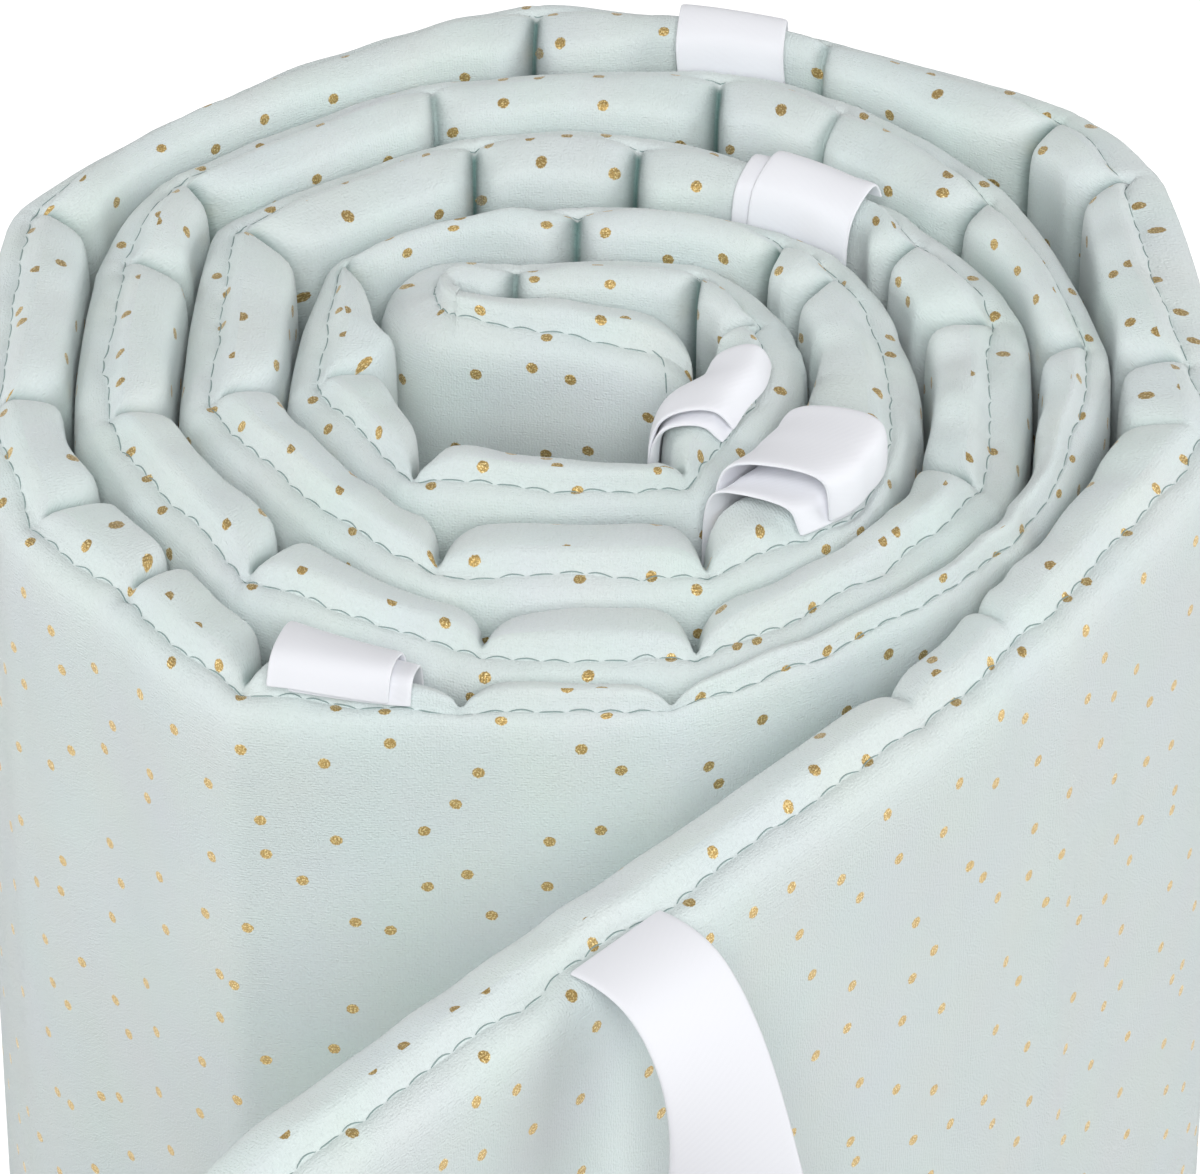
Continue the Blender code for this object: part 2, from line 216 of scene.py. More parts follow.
# Where the outline's points stand: places on the two splines, and shares of the way up or down a face.
TOP_SAMPLES = (0.0, 0.7, 1.2, 1.6, 1.95, 2.25, 2.5, 2.68, 2.82, 2.92, 3.0, 3.08, 3.18, 3.32, 3.5, 3.75)
TOP_SAMPLES += (4.05, 4.4, 4.7, 5.0, 5.3, 5.6, 5.9, 6.2, 6.5, 6.8, 7.1, 7.4, 7.7, 8.0)
OUTER_SHARES = (0.05, 0.14, 0.28, 0.44, 0.6, 0.75, 0.87, 0.95)
INNER_SHARES = (0.95, 0.87, 0.74, 0.58, 0.42, 0.26, 0.12)
FOOT_SAMPLES = (0.0, 0.6, 1.1, 1.6, 2.0, 3.0, 3.4, 3.9, 4.4, 5.0)
RIDGE_SAMPLE = 5.0
SEAM_SAMPLE = 3.0
UNDER_SAMPLE = 3.0

# Where the top edge leans inwards, by a share of the way to the inner face. Fall is the share of its usual
# fall that the edge has past its ridge. Along is the distance from the strip's first end.
LEAN_COLUMNS = ("along", "lean", "fall")
LEAN = (
    (0, 0.0, 1.0),
    (28, 0.06, 1.0),
    (44, 0.42, 0.4),
    (60, 0.6, 0.22),
    (76, 0.48, 0.3),
    (92, 0.2, 0.9),
    (128, 0.16, 1.0),
    (140, 0.3, 1.0),
    (166, 0.3, 1.0),
    (176, 0.1, 1.0),
    (184, 0.0, 1.3),
    (196, 0.0, 1.8),
    (206, 0.0, 1.5),
    (218, 0.0, 1.0),
    (478, 0.0, 1.0),
    (492, -0.2, 1.0),
    (516, -0.2, 1.0),
    (530, 0.0, 1.0),
    (880, 0.0, 1.0),
    (896, 0.13, 1.0),
    (914, 0.13, 1.0),
    (930, 0.0, 1.0),
    (1380, 0.0, 1.0),
    (1400, 0.1, 1.0),
    (1440, 0.1, 1.0),
    (1455, 0.0, 1.0),
    (2012, 0.0, 1.0),
    (2046, 0.38, 1.0),
    (2080, 0.38, 1.0),
    (2110, 0.1, 1.0),
    (2125, 0.0, 1.0),
)

# Ties: tape caught in the top seam. A row for each strand that shows: the turn and bearing where it
# leaves the seam, how far it is shifted along the strip, which layer it is over the edge and of how many,
# how high it lifts off the edge, how many degrees it swings from straight across, the most that its
# first and its last side reach before they hang, and how far it slips along the strip as it drops.
TAPE_WIDTH = 20.0
TAPE_THICKNESS = 0.7
TAPE_CLEARANCE = 0.45
TAPE_SPARE = 0.8
TAIL_DEPTH = 42.0
TIE_COLUMNS = (
    "name", "turn", "bearing", "along", "layer", "layers", "lift", "swing", "first", "last", "skew"
)
TIES = (
    ("tie_1_under", 1, 182, 8.5, 0, 2, 0.0, 3.0, 15.5, 20.0, 0.0),
    ("tie_1_over", 1, 182, 5.5, 1, 2, 0.8, 3.0, 15.5, 20.0, 0.0),
    ("tie_2_under", 2, 210, 12.0, 0, 2, 1.8, 24.0, 60.0, 60.0, 0.0),
    ("tie_2_over", 2, 210, 7.0, 1, 2, 5.2, 24.0, 60.0, 60.0, 0.0),
    ("tie_3_under", 3, 121, 0.0, 0, 2, 0.2, 0.0, 60.0, 60.0, 0.0),
    ("tie_3_over", 3, 128, -3.4, 1, 2, 0.5, 0.0, 60.0, 60.0, 0.0),
    ("tie_4_under", 4, 295, -3.5, 0, 2, 0.5, 0.0, 60.0, 60.0, 0.0),
    ("tie_4_over", 4, 295, 0.0, 1, 2, 0.9, 0.0, 16.3, 24.1, 0.0),
    ("tie_5", 5, 103, 0.0, 0, 1, 0.6, 0.0, 60.0, 60.0, -3.0),
)

# The tie that springs off the flap, and the middle line of its strand. Out is away from the outer face,
# up is from the top edge.
SPRUNG_TIE = ("tie_6", 5, 240, 70.0)
SPRUNG_TWIST = 28.0
SPRUNG_COLUMNS = ("out", "up")
SPRUNG_LINE = (
    (-5.1, -2.0),
    (-3.2, -1.7),
    (0.3, -1.5),
    (5.0, -2.4),
    (9.5, -5.6),
    (13.5, -12.0),
    (16.0, -21.0),
    (16.8, -33.0),
    (16.2, -48.0),
    (14.6, -66.0),
    (12.6, -84.0),
    (10.8, -102.0),
    (9.6, -120.0),
)

# Stitches, millimetres
STITCH_PITCH = 4.7
STITCH_LENGTH = 4.45
STITCH_WIDTH = 0.24
STITCH_INSET = 4.4
STITCH_CORNER = 3.0
STITCH_STEP = 0.25

# How the padding gives, millimetres unless it says a share. The pinch is drawn in by a strength and to a
# most share of the thickness. The dip is a share of the pinch, and tapers off over its reach.
PINCH_STRENGTH = 1.25
MOST_PINCH = 0.46
DIP_SHARE = 0.62
DIP_REACH = 13.0
DRAWN_DROP = 0.30
EDGE_WAVE = 0.45
SEAM_PUCKER = 0.35
SEAM_GROOVE = 0.4
END_GROOVE = 0.55
BROAD_SLACK = 0.8
FINE_SLACK = 0.35

# The right side of turn 3 is crumpled: between two places on it, its edge waves this much more.
CRUMPLED = ((3, 158), (3, 212))
CRUMPLE_EASE = 15.0
CRUMPLE = 2.2

# The print on the strip's inner face starts this far on, so that its dots differ from the outer face's.
INNER_PRINT_SHIFT = 700.0

# Shade at the bottom of a fold, and the foil's lit specks
FOLD_SHADE = "#7C9A96"
FOIL_GLINT = "#F3DFA4"

# Softboxes: a name, a place, what it aims at, the width of its square and its power in watts. Metres.
SOFTBOX_COLUMNS = ("name", "place", "aim", "size", "power")
SOFTBOXES = (
    ("softbox front", (0.1, -1.8, 1.95), (0.0, 0.04, 0.28), 1.4, 43.0),
    ("softbox left", (-2.0, 0.1, 0.7), (0.0, 0.04, 0.2), 1.2, 18.0),
    ("softbox right", (2.0, 0.1, 0.7), (0.0, 0.04, 0.2), 1.2, 18.0),
)
ROOM_LIGHT = 0.27
FLOOR_HALF_WIDTH = 4.0
FLOOR_GLOW = 0.6

# Camera: its place in metres, its tilt from straight down in degrees, and its lens and film in millimetres
CAMERA_PLACE = (-0.00032, -0.8053, 0.9170)
CAMERA_TILT = 52.0
CAMERA_LENS = 189.0
CAMERA_FILM = 36.0


def unit(vectors):
    """Vectors at a length of 1."""
    return vectors / np.linalg.norm(vectors, axis=-1, keepdims=True)


def cross(a, b):
    """The cross product of flat vectors: the area that the two span."""
    return a[..., 0] * b[..., 1] - a[..., 1] * b[..., 0]


def smooth(x):
    """A smooth step from 0 to 1: three times the square, less twice the cube."""
    x = np.clip(x, 0.0, 1.0)
    return x * x * (3.0 - 2.0 * x)


def quarter(distance, reach):
    """A quarter ellipse: 0 at no distance, 1 from reach on."""
    return np.sqrt(np.clip(1.0 - (1.0 - np.clip(distance / reach, 0.0, 1.0)) ** 2, 0.0, 1.0))


def spline(points, at):
    """A natural cubic spline through points that stand at 0, 1, 2 and so on, read at other places."""
    points = np.asarray(points, float)
    count = len(points)
    matrix = np.eye(count) * 4.0 + np.eye(count, k=1) + np.eye(count, k=-1)
    matrix[0, :2] = (1.0, 0.0)
    matrix[-1, -2:] = (0.0, 1.0)
    bend = np.zeros_like(points)
    bend[1:-1] = 6.0 * (points[2:] - 2.0 * points[1:-1] + points[:-2])
    bend = np.linalg.solve(matrix, bend)
    at = np.clip(np.asarray(at, float), 0.0, count - 1.0)
    left = np.minimum(at.astype(int), count - 2)
    b = at - left
    a = 1.0 - b
    if points.ndim > 1:
        a, b = a[:, None], b[:, None]
    bent = ((a**3 - a) * bend[left] + (b**3 - b) * bend[left + 1]) / 6.0
    return a * points[left] + b * points[left + 1] + bent


def drift(x, y, seed):
    """Smooth noise from -1 to 1: random values on a grid of whole numbers, blended by smooth steps."""
    x, y = np.broadcast_arrays(np.asarray(x, float), np.asarray(y, float))
    table = np.random.default_rng(seed).uniform(-1.0, 1.0, (64, 64))
    i = np.floor(x).astype(int)
    j = np.floor(y).astype(int)
    u = smooth(x - i)
    v = smooth(y - j)
    low = table[i % 64, j % 64] * (1 - u) + table[(i + 1) % 64, j % 64] * u
    high = table[i % 64, (j + 1) % 64] * (1 - u) + table[(i + 1) % 64, (j + 1) % 64] * u
    return low * (1 - v) + high * v


def corners():
    """The corners of the outer face's line, with the half width and the pinch of each."""
    end = np.array(FIRST_PANEL_END)
    pivot = np.array(FIRST_BEND_PIVOT)
    away = end - pivot
    start = np.arctan2(away[1], away[0]) - np.arccos(FIRST_BEND_RADIUS / np.linalg.norm(away))
    angles = np.linspace(start, np.radians(FIRST_BEND_END), FIRST_BEND_STEPS)
    bend = pivot + FIRST_BEND_RADIUS * np.stack([np.cos(angles), np.sin(angles)], axis=1)
    bearing = np.radians([row[1] for row in FOLDS])
    radius = np.array([row[2] for row in FOLDS], float)
    folds = np.stack([-radius * np.cos(bearing), radius * np.sin(bearing)], axis=1)
    heading = np.radians(FLAP_HEADING)
    flap = folds[-1] + FLAP_LENGTH * np.array([np.cos(heading), np.sin(heading)])
    points = np.vstack([end, bend, folds, flap])
    pinch = np.array([0.0] * (1 + len(bend)) + [float(row[3]) for row in FOLDS] + [0.0])
    half = np.where(pinch > 0.0, CREASE_HALF_WIDTH, SOFT_BEND_HALF_WIDTH)
    half[: 1 + len(bend)] = 1.5
    return points, half, pinch


def strip_line():
    """The outer face's line in fine steps, the distance along it, and the place of each corner on it.

    Each panel bows outwards as a parabola, the flap inwards. Each corner between two panels is a
    quadratic curve.
    """
    points, half, _ = corners()
    pieces = []
    places = [0]
    count = 0
    before = None
    for i in range(1, len(points)):
        run = points[i] - points[i - 1]
        length = np.linalg.norm(run)
        run = run / length
        outward = np.array([-run[1], run[0]])
        first = points[i - 1] + run * min(half[i - 1], 0.4 * length) * (i > 1)
        last = points[i] - run * min(half[i], 0.4 * length) * (i < len(points) - 1)
        if before is not None:
            t = np.linspace(0.0, 1.0, 10)[1:-1, None]
            control = points[i - 1]
            pieces.append((1 - t) ** 2 * before + 2 * t * (1 - t) * control + t * t * first)
            places.append(count + 4)
            count += 8
        steps = max(2, int(np.linalg.norm(last - first) / FINE_STEP))
        t = np.linspace(0.0, 1.0, steps)[:, None]
        most = min(PANEL_BOW * length, MOST_BOW) if i < len(points) - 1 else FLAP_BOW
        pieces.append(first + t * (last - first) + 4.0 * t * (1.0 - t) * most * outward)
        count += steps
        before = last
    line = np.vstack(pieces)
    along = np.concatenate([[0.0], np.cumsum(np.linalg.norm(np.diff(line, axis=0), axis=1))])
    return line, along, along[places + [len(line) - 1]]


def ribs(line, along, places):
    """The way across the strip at each point of its line, from its outer face to its inner one.

    It is square to the first panel, turns about the first bend's pivot, then points at the nearest spot
    of the core line. Beside the first panel's free end it turns to the spot in the hollow, and on the
    flap it is square to that.
    """
    a, b = np.array(CORE_LINE)
    share = np.clip(((line - a) @ (b - a)) / ((b - a) @ (b - a)), 0.0, 1.0)
    inward = unit(a + share[:, None] * (b - a) - line)
    run = unit(line[5] - line[0])
    square = np.array([run[1], -run[0]])
    panel = places[1]
    bend = places[FIRST_BEND_STEPS]
    turned = unit(np.array(FIRST_BEND_PIVOT) - line)
    share = smooth((along - bend) / 10.0)[:, None]
    inward = unit((1.0 - share) * turned + share * inward)
    inward = np.where((along <= panel)[:, None], square, inward)
    faced = unit(np.array(HOLLOW_SPOT) - line)
    share = smooth((along - HOLLOW_STRETCH[0]) / 12.0) * smooth((HOLLOW_STRETCH[1] - along) / 18.0)
    inward = unit((1.0 - share[:, None]) * inward + share[:, None] * faced)
    heading = np.radians(FLAP_HEADING)
    across_flap = np.array([np.sin(heading), -np.cos(heading)])
    share = smooth((along - places[-2] + 0.5 * FLAP_BLEND) / FLAP_BLEND)[:, None]
    return unit((1.0 - share) * inward + share * across_flap)


def room_inside(points, stations, inward, line, along):
    """How far it is from each point, along its way inward, to the outer face of the turn inside it."""
    start = line[:-1]
    edge = np.diff(line, axis=0)
    middle = 0.5 * (along[:-1] + along[1:])
    gap = start[None] - points[:, None]
    turn = cross(inward[:, None], edge[None])
    turn = np.where(np.abs(turn) < 1e-9, 1e-9, turn)
    reach = cross(gap, edge[None]) / turn
    share = cross(gap, inward[:, None]) / turn
    apart = np.where(
        stations[:, None] < SHARED_TURN,
        np.abs(stations[:, None] - middle[None]) > 25.0,
        stations[:, None] - middle[None] > 60.0,
    )
    hit = (share >= 0.0) & (share <= 1.0) & (reach > 1.0) & apart
    return np.where(hit, reach, 1e3).min(axis=1)


def halved(room, along, places):
    """The room that the strip may fill.

    Where the first panel and the turn behind it lie with their inner faces together, each has half. In
    the first bend it may not reach past the pivot.
    """
    room = np.where(along < SHARED_TURN, 0.5 * room + 0.5 * LAYER_GAP, room)
    bending = (along > places[1] - 4.0) & (along < places[FIRST_BEND_STEPS] + 4.0)
    return np.where(bending, np.minimum(room, FIRST_BEND_RADIUS - 1.0), room)


class Strip:
    """The wound strip: its outer line, its ribs and its thickness, at any distance along it."""

    def __init__(self):
        self.line, self.along, self.places = strip_line()
        self.pinches = corners()[2]
        self.length = self.along[-1]
        self.inward = ribs(self.line, self.along, self.places)
        room = room_inside(self.line, self.along, self.inward, self.line, self.along)
        room = halved(room, self.along, self.places)
        near = np.abs(self.along[:, None] - self.along[None]) < 7.0
        least = np.where(near, room[None], 1e3).min(axis=1)
        least = (near * least[None]).sum(axis=1) / near.sum(axis=1)
        puff = [self.place_of(turn, bearing) for turn, bearing, most in PUFF]
        most = np.interp(self.along, puff, [row[2] for row in PUFF])
        self.thickness = np.clip(least - LAYER_GAP - self.tape_room(), THINNEST, most)

    def place_of(self, turn, bearing):
        """Distance along the strip at a bearing of a turn."""
        around = np.unwrap(np.arctan2(self.line[:, 1], -self.line[:, 0]))
        start = np.argmax(self.along > self.places[FIRST_BEND_STEPS])
        turns = around - around[start] + np.arctan2(self.line[start, 1], -self.line[start, 0])
        wanted = np.radians(360.0 * (turn - 1) + bearing)
        return self.along[np.argmax((turns > wanted) & (self.along > self.along[start]))]

    def tape_room(self):
        """Room left inside the strip for the tape that hangs there."""
        room = np.zeros(len(self.along))
        for _, turn, bearing, shift, _, layers, *_ in TIES:
            off = np.abs(self.along - self.place_of(turn, bearing) - shift)
            near = smooth(2.2 - off / (0.5 * TAPE_WIDTH))
            needed = layers * TAPE_THICKNESS + (layers + 1) * TAPE_CLEARANCE + TAPE_SPARE
            room = np.maximum(room, near * (needed - LAYER_GAP))
        return room

    def lips(self, stations, reach):
        """Each fold's pinch between two quarter ellipses: the whole pinch at the fold, none a reach off."""
        off = np.maximum(np.abs(np.asarray(stations)[..., None] - self.places) - CLEFT_HALF_WIDTH, 0.0)
        return (self.pinches * (1.0 - quarter(off, reach))).max(axis=-1)

    def lean(self, stations):
        """The top edge's lean and fall at distances along the strip."""
        table = np.array(LEAN)
        return tuple(np.interp(stations, table[:, 0], table[:, k]) for k in (1, 2))

    def at(self, stations):
        """Outer face points, ribs and thicknesses at distances along the strip."""
        point = np.stack([np.interp(stations, self.along, self.line[:, i]) for i in (0, 1)], axis=-1)
        rib = np.stack([np.interp(stations, self.along, self.inward[:, i]) for i in (0, 1)], axis=-1)
        return point, unit(rib), np.interp(stations, self.along, self.thickness)

    def reach(self, station, way):
        """How far it is from a point of the outer face to the inner one, along a way across the strip.

        It is the most within 1.2 mm of that way.
        """
        near = np.abs(self.along - station) < 16.0
        inner = self.line[near] + self.inward[near] * self.thickness[near, None] - self.at(station)[0]
        side = cross(way[None], inner)
        order = np.argsort(side)
        return np.interp(np.linspace(-1.2, 1.2, 5), side[order], (inner @ way)[order]).max()

    def slant(self, station, way):
        """How much longer a way across the strip is than its rib there."""
        before, rib, _ = self.at(station - 2.0)
        after = self.at(station + 2.0)[0]
        return cross(after - before, rib) / cross(after - before, way)

    def stations(self):
        """Where the sections stand: close together at the ends and folds, wider apart between."""
        wanted = [0.0, 0.25, 0.7, 1.3, 2.0, 2.8, 3.6, 4.4, 5.0, 5.4, 5.8, 6.4, 7.2, 8.2, 9.6, 11.2]
        wanted += [self.length - value for value in wanted]
        for i, place in enumerate(self.places[1:-1], start=1):
            if i > FIRST_BEND_STEPS and self.pinches[i] > 0.0:
                for off in (0.0, 0.5, 1.1, 1.8, 2.7, 3.8, 5.1, 6.6, 8.3, 10.2):
                    wanted += [place - off, place + off]
        wanted = np.unique(np.round(np.clip(wanted, 0.0, self.length), 3))
        kept = [wanted[0]]
        for value in wanted[1:-1]:
            if value - kept[-1] > 0.22 and self.length - value > 0.2:
                kept.append(value)
        kept.append(self.length)
        filled = []
        for before, after in zip(kept, kept[1:]):
            pieces = max(1, int(np.ceil((after - before) / 2.1)))
            filled += [before + (after - before) * k / pieces for k in range(pieces)]
        return np.array(filled + [kept[-1]])


def placed(flat, z, height):
    """Points in millimetres from the roll's middle, as metres in the part's frame.

    The roll is a little wider at its foot than at its top.
    """
    spread = 1.0 + FOOT_SPREAD * (1.0 - np.minimum(z, height) / height)
    x = flat[..., 0] * spread + ROLL_CENTRE[0]
    y = flat[..., 1] * spread + ROLL_CENTRE[1]
    return MM * np.stack([x, y, z + 0.0 * x], axis=-1)


def puffed(across, thickness):
    """Depth below the outer face. Past its usual thickness only the inner part of the strip puffs up."""
    usual = np.minimum(thickness, STRIP_THICKNESS)
    return across * usual + (thickness - usual) * smooth((across - 0.5) / 0.5)


def leaned(across, lean):
    """A share across, moved towards the inner face by a lean that eases in over the outer third."""
    return across + lean * (1.0 - across) * smooth(across / 0.36)


def profile():
    """The strip's outline once round: across, share of the way up, low and high end, place on the top.

    The outer face goes up, a spline goes over the top edge, the inner face comes down, and a spline goes
    round the foot.
    """
    top = spline(TOP_EDGE, TOP_SAMPLES)
    foot = spline(FOOT, FOOT_SAMPLES)
    foot[:, 1] = np.maximum(foot[:, 1], 0.0)
    across = np.concatenate(
        [np.zeros(len(OUTER_SHARES)), top[:, 0], np.ones(len(INNER_SHARES)), foot[:, 0]]
    )
    up = np.concatenate([OUTER_SHARES, np.ones(len(top)), INNER_SHARES, np.zeros(len(foot))])
    low = np.concatenate([np.full(len(OUTER_SHARES), FOOT[-1][1]), np.zeros(len(top)),
                          np.full(len(INNER_SHARES), FOOT[0][1]), foot[:, 1]])
    high = np.concatenate([np.full(len(OUTER_SHARES), TOP_EDGE[0][1]), top[:, 1],
                           np.full(len(INNER_SHARES), TOP_EDGE[-1][1]), np.zeros(len(foot))])
    on_top = np.full(len(across), -9.0)
    on_top[len(OUTER_SHARES) :][: len(top)] = TOP_SAMPLES
    return across, up, low, high, on_top


def seam_wander(stations):
    """How far the seam strays from a straight line, in steps between the top edge's points: noise."""
    return 0.34 * drift(stations / 9.0, 0.5, 21) + 0.12 * drift(stations / 3.5, 1.5, 22)


def strip_surface(strip, height):
    """The padded strip's surface, as a grid of stations along it and points round its outline.

    A point lies on the outer face's line plus its rib times a depth. The depth is the outline's share of
    the thickness, less each fold's pinch on the inner side. The height follows the outline, less a dip at
    each fold. Smooth noise adds slack, and a narrow groove runs along the stitches.
    """
    stations = strip.stations()
    point, rib, whole = strip.at(stations)
    across, up, low, high, on_top = profile()
    end = np.minimum(stations, strip.length - stations)[:, None]
    full = quarter(end, END_TAPER)
    seam = SEAM_WIDTH * (0.18 + 0.82 * quarter(end, END_ROUND))
    whole = whole[:, None]
    thickness = seam + (whole - SEAM_WIDTH) * full
    offset = 0.26 * (whole - SEAM_WIDTH) * (1.0 - full) + 0.5 * (SEAM_WIDTH - seam)
    drop = END_CORNER[1] * (1.0 - quarter(end, END_CORNER[0]))
    lean, fall = strip.lean(stations)
    share = np.where(up == 1.0, leaned(across[None], lean[:, None]), across[None])
    past_ridge = np.arange(len(across)) > len(OUTER_SHARES) + TOP_SAMPLES.index(RIDGE_SAMPLE)
    high = np.where(past_ridge, high[None] * fall[:, None], high[None])
    inner = smooth((share - 0.3) / 0.7)
    first, last = (strip.place_of(turn, bearing) for turn, bearing in CRUMPLED)
    crumple = smooth((stations - first) / CRUMPLE_EASE)
    crumple = (1.0 + CRUMPLE * crumple * smooth((last - stations) / CRUMPLE_EASE))[:, None]
    pinch = PINCH_STRENGTH * strip.lips(stations, CREASE_REACH)[:, None]
    drawn = np.minimum(pinch, MOST_PINCH * thickness) * inner
    band = 0.12 + 0.88 * smooth((across - 0.25) / 0.3)[None]
    dip = DIP_SHARE * strip.lips(stations, DIP_REACH)[:, None] * band
    deep = offset + puffed(share, thickness) - drawn
    wave = drift(stations[:, None] / 8.0, across[None] * 2.5, 5)
    fine = drift(stations[:, None] / 2.6, across[None] * 3.0, 9)
    near_seam = np.exp(-(((on_top[None] - 3.2) / 1.1) ** 2))
    seam_off = 2.8 * (on_top[None] - 3.0 - seam_wander(stations)[:, None])
    groove = SEAM_GROOVE * np.exp(-((seam_off / 0.6) ** 2))
    lift = EDGE_WAVE * wave * crumple + SEAM_PUCKER * fine * near_seam
    lift = lift * smooth((across[None] - 0.02) / 0.2) * full
    top = height + high - drop - dip - DRAWN_DROP * drawn - groove * full + lift
    bottom = low[None] + drop * (low[None] > 0.0)
    z = bottom * (1.0 - up[None]) + top * up[None]
    side = np.clip(z / height, 0.0, 1.0)
    slack = drift(stations[:, None] / 34.0, z / 70.0, 3) * BROAD_SLACK
    slack = slack + drift(stations[:, None] / 13.0, z / 40.0, 4) * FINE_SLACK
    slack = slack * np.where(across[None] > 0.5, 0.9, 0.55) * smooth(end / 20.0)
    down_end = END_GROOVE * np.exp(-((end - STITCH_INSET) ** 2)) * smooth((height - 8.0 - z) / 6.0)
    facing = np.where(across[None] < 0.5, 1.0, -1.0) * (np.abs(across[None] - 0.5) >= 0.38)
    deep = deep + slack * (side > 0.02) + down_end * facing
    flat = point[:, None] + rib[:, None] * deep[..., None]
    # Painted shade: a mask that darkens the cloth's colour at the bottom of each creased fold.
    painted_fold_shade = (strip.lips(stations, 2.2) / 7.0)[:, None] * smooth((across[None] - 0.45) / 0.2)
    return stations, placed(flat, z, height), painted_fold_shade * full


def cloth_lengths(strip, stations, grid):
    """Distances over the cloth in millimetres, along each face and round the outline."""
    around = np.linalg.norm(np.diff(grid, axis=1, append=grid[:, :1]), axis=2) / MM
    round_it = np.concatenate([[0.0], np.cumsum(np.median(around, axis=0))])
    point, rib, thickness = strip.at(stations)
    inner = point + rib * thickness[:, None]
    steps = np.linalg.norm(np.diff(inner, axis=0), axis=1)
    inner_along = np.concatenate([[0.0], np.cumsum(steps)])
    return stations, inner_along + INNER_PRINT_SHIFT, round_it


def mesh_of(name, points, faces, uv, uv_name):
    """A mesh from whole arrays: points, quads and one pair of cloth coordinates for each quad's corner."""
    mesh = bpy.data.meshes.new(name)
    mesh.vertices.add(len(points))
    mesh.vertices.foreach_set("co", points.astype(np.float32).ravel())
    sides = faces.shape[1]
    mesh.loops.add(faces.size)
    mesh.loops.foreach_set("vertex_index", faces.astype(np.int32).ravel())
    mesh.polygons.add(len(faces))
    mesh.polygons.foreach_set("loop_start", np.arange(0, faces.size, sides, dtype=np.int32))
    layer = mesh.uv_layers.new(name=uv_name)
    layer.uv.foreach_set("vector", uv.astype(np.float32).ravel())
    mesh.update(calc_edges=True)
    mesh.validate()
    mesh.shade_smooth()
    return mesh


def grid_faces(rows, columns, closed):
    """Quads of a grid of points, row by row, closed round its columns or open."""
    i = np.arange(rows - 1)[:, None]
    j = np.arange(columns if closed else columns - 1)[None]
    k = (j + 1) % columns
    quad = [i * columns + j, i * columns + k, (i + 1) * columns + k, (i + 1) * columns + j]
    return np.stack(np.broadcast_arrays(*quad), axis=-1).reshape(-1, 4)


def add_object(name, mesh, finish):
    """A mesh's object, at the origin, with its finish."""
    made = bpy.data.objects.new(name, mesh)
    made.data.materials.append(finish)
    bpy.context.scene.collection.objects.link(made)
    return made


def build_strip(strip, height, finish):
    """The strip's object: its surface, closed by a fan of quads over each end."""
    stations, grid, painted_fold_shade = strip_surface(strip, height)
    rows, columns = grid.shape[:2]
    faces = grid_faces(rows, columns, True)
    outer_u, inner_u, round_it = cloth_lengths(strip, stations, grid)
    ridge = len(OUTER_SHARES) + TOP_SAMPLES.index(RIDGE_SAMPLE)
    under = columns - len(FOOT_SAMPLES) + FOOT_SAMPLES.index(UNDER_SAMPLE)
    j = np.arange(columns)
    outer = (j < ridge) | (j >= under)
    u = np.where(outer[None], outer_u[:, None], inner_u[:, None])
    v = round_it[:-1]
    v_next = round_it[1:]
    v = np.where(j >= under, v - round_it[-1], v)
    v_next = np.where(j >= under, v_next - round_it[-1], v_next)
    shape = (rows - 1, columns)
    corner_u = np.stack([u[:-1], u[:-1], u[1:], u[1:]], axis=-1)
    corner_v = np.stack([np.broadcast_to(a, shape) for a in (v, v_next, v_next, v)], axis=-1)
    uv = np.stack([corner_u, corner_v], axis=-1).reshape(-1, 2) * MM
    half = columns // 2
    j = np.arange(half - 1)
    caps = []
    for first, flip in ((0, True), ((rows - 1) * columns, False)):
        cap = np.stack([first + j, first + j + 1, first + columns - 2 - j, first + columns - 1 - j], axis=1)
        caps.append(cap[:, ::-1] if flip else cap)
    caps = np.vstack(caps)
    faces = np.vstack([faces, caps])
    uv = np.vstack([uv, np.zeros((caps.size, 2))])
    mesh = mesh_of("crib_bumper_strip", grid.reshape(-1, 3), faces, uv, "cloth")
    # The painted fold shade goes with the mesh as a point attribute.
    mesh.attributes.new("painted_fold_shade", "FLOAT", "POINT").data.foreach_set("value", painted_fold_shade.astype(np.float32).ravel())
    made = add_object("crib_bumper_strip", mesh, finish)
    return made, stations, grid


def read_grid(grid, i, j):
    """A grid's value between its points: blended along both ways, closed round its columns."""
    i = np.clip(i, 0.0, len(grid) - 1.001)
    a = i.astype(int)
    b = np.floor(j).astype(int)
    columns = grid.shape[1]
    u = (i - a)[..., None]
    v = (j - np.floor(j))[..., None]
    low = grid[a, b % columns] * (1 - u) + grid[a + 1, b % columns] * u
    high = grid[a, (b + 1) % columns] * (1 - u) + grid[a + 1, (b + 1) % columns] * u
    return low * (1 - v) + high * v


def grid_normals(grid):
    """Outward normals of the strip's grid: the cross product of its two ways."""
    along = np.gradient(grid, axis=0)
    around = np.roll(grid, -1, axis=1) - np.roll(grid, 1, axis=1)
    return unit(np.cross(around, along) + 1e-12)


